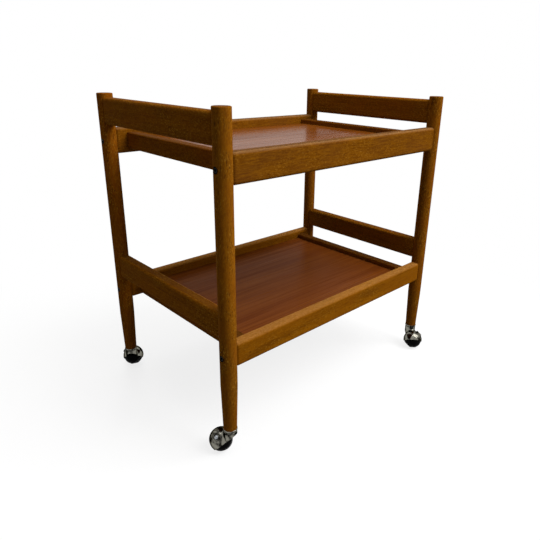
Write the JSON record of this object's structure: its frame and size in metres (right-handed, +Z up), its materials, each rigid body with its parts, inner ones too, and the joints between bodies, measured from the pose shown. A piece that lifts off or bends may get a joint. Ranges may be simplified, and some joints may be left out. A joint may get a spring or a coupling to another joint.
{
  "type": "two-tier tea trolley",
  "caption": "Two-tier wooden tea trolley with fixed trays, rounded end boards, turned posts and hooded ball castors.",
  "frame": {"origin": "on the floor, at the middle of the four posts", "axes": "+Z up, +X along the trays from the left handle board to the right one, +Y across the trays from front to back"},
  "size_m": [0.7396, 0.5264, 0.711],
  "materials": {
    "post_wood": "stained beech, satin lacquer",
    "board_wood": "stained beech, satin lacquer",
    "upper_panel_veneer": "teak veneer, satin lacquer",
    "lower_panel_veneer": "teak veneer, satin lacquer",
    "dowel_wood": "plain beech",
    "black_steel": "black oxide",
    "zinc_plate": "bright zinc plate",
    "spring_steel": "oiled spring steel",
    "chrome_plate": "chrome plate",
    "black_acetal": "moulded",
    "black_wheel": "moulded, polished by use"
  },
  "bodies": {
    "frame": {"front_left_post": "post_wood", "back_left_post": "post_wood", "front_right_post": "post_wood", "back_right_post": "post_wood", "left_handle_board": "board_wood", "left_lower_end_board": "board_wood", "right_handle_board": "board_wood", "right_lower_end_board": "board_wood", "upper_tray_front_rail": "board_wood", "upper_tray_back_rail": "board_wood", "upper_tray_left_end_rail": "board_wood", "upper_tray_right_end_rail": "board_wood", "upper_tray_panel": "upper_panel_veneer", "lower_tray_front_rail": "board_wood", "lower_tray_back_rail": "board_wood", "lower_tray_left_end_rail": "board_wood", "lower_tray_right_end_rail": "board_wood", "lower_tray_panel": "lower_panel_veneer", "frame_bolts": "black_steel", "barrel_nuts": "zinc_plate", "board_dowels": "dowel_wood", "tray_rail_dowels": "dowel_wood", "front_left_collar": "chrome_plate", "front_left_sleeve": "zinc_plate", "back_left_collar": "chrome_plate", "back_left_sleeve": "zinc_plate", "front_right_collar": "chrome_plate", "front_right_sleeve": "zinc_plate", "back_right_collar": "chrome_plate", "back_right_sleeve": "zinc_plate"},
    "front_left_castor": {"front_left_castor_hood": "chrome_plate", "front_left_castor_axle": "zinc_plate", "front_left_stem": "zinc_plate", "front_left_stem_ring": "spring_steel", "front_left_thrust_washer": "black_acetal"},
    "front_left_wheel": {"front_left_castor_wheel": "black_wheel"},
    "back_left_castor": {"back_left_castor_hood": "chrome_plate", "back_left_castor_axle": "zinc_plate", "back_left_stem": "zinc_plate", "back_left_stem_ring": "spring_steel", "back_left_thrust_washer": "black_acetal"},
    "back_left_wheel": {"back_left_castor_wheel": "black_wheel"},
    "front_right_castor": {"front_right_castor_hood": "chrome_plate", "front_right_castor_axle": "zinc_plate", "front_right_stem": "zinc_plate", "front_right_stem_ring": "spring_steel", "front_right_thrust_washer": "black_acetal"},
    "front_right_wheel": {"front_right_castor_wheel": "black_wheel"},
    "back_right_castor": {"back_right_castor_hood": "chrome_plate", "back_right_castor_axle": "zinc_plate", "back_right_stem": "zinc_plate", "back_right_stem_ring": "spring_steel", "back_right_thrust_washer": "black_acetal"},
    "back_right_wheel": {"back_right_castor_wheel": "black_wheel"}
  },
  "joints": [
    {"name": "front_left_swivel", "type": "hinge", "parent": "frame", "child": "front_left_castor", "pos_m": [-0.336, -0.2165, 0.0635], "axis": [0, 0, 1], "continuous": true},
    {"name": "front_left_roll", "type": "hinge", "parent": "front_left_castor", "child": "front_left_wheel", "pos_m": [-0.3437, -0.19387, 0.0233], "axis": [-0.6694, -0.2279, 0.7071], "continuous": true},
    {"name": "back_left_swivel", "type": "hinge", "parent": "frame", "child": "back_left_castor", "pos_m": [-0.336, 0.2165, 0.0635], "axis": [0, 0, 1], "continuous": true},
    {"name": "back_left_roll", "type": "hinge", "parent": "back_left_castor", "child": "back_left_wheel", "pos_m": [-0.32205, 0.23591, 0.0233], "axis": [-0.5742, 0.4126, 0.7071], "continuous": true},
    {"name": "front_right_swivel", "type": "hinge", "parent": "frame", "child": "front_right_castor", "pos_m": [0.336, -0.2165, 0.0635], "axis": [0, 0, 1], "continuous": true},
    {"name": "front_right_roll", "type": "hinge", "parent": "front_right_castor", "child": "front_right_wheel", "pos_m": [0.32326, -0.23672, 0.0233], "axis": [0.5983, -0.3768, 0.7071], "continuous": true},
    {"name": "back_right_swivel", "type": "hinge", "parent": "frame", "child": "back_right_castor", "pos_m": [0.336, 0.2165, 0.0635], "axis": [0, 0, 1], "continuous": true},
    {"name": "back_right_roll", "type": "hinge", "parent": "back_right_castor", "child": "back_right_wheel", "pos_m": [0.3437, 0.23913, 0.0233], "axis": [-0.6694, 0.2279, 0.7071], "continuous": true}
  ]
}
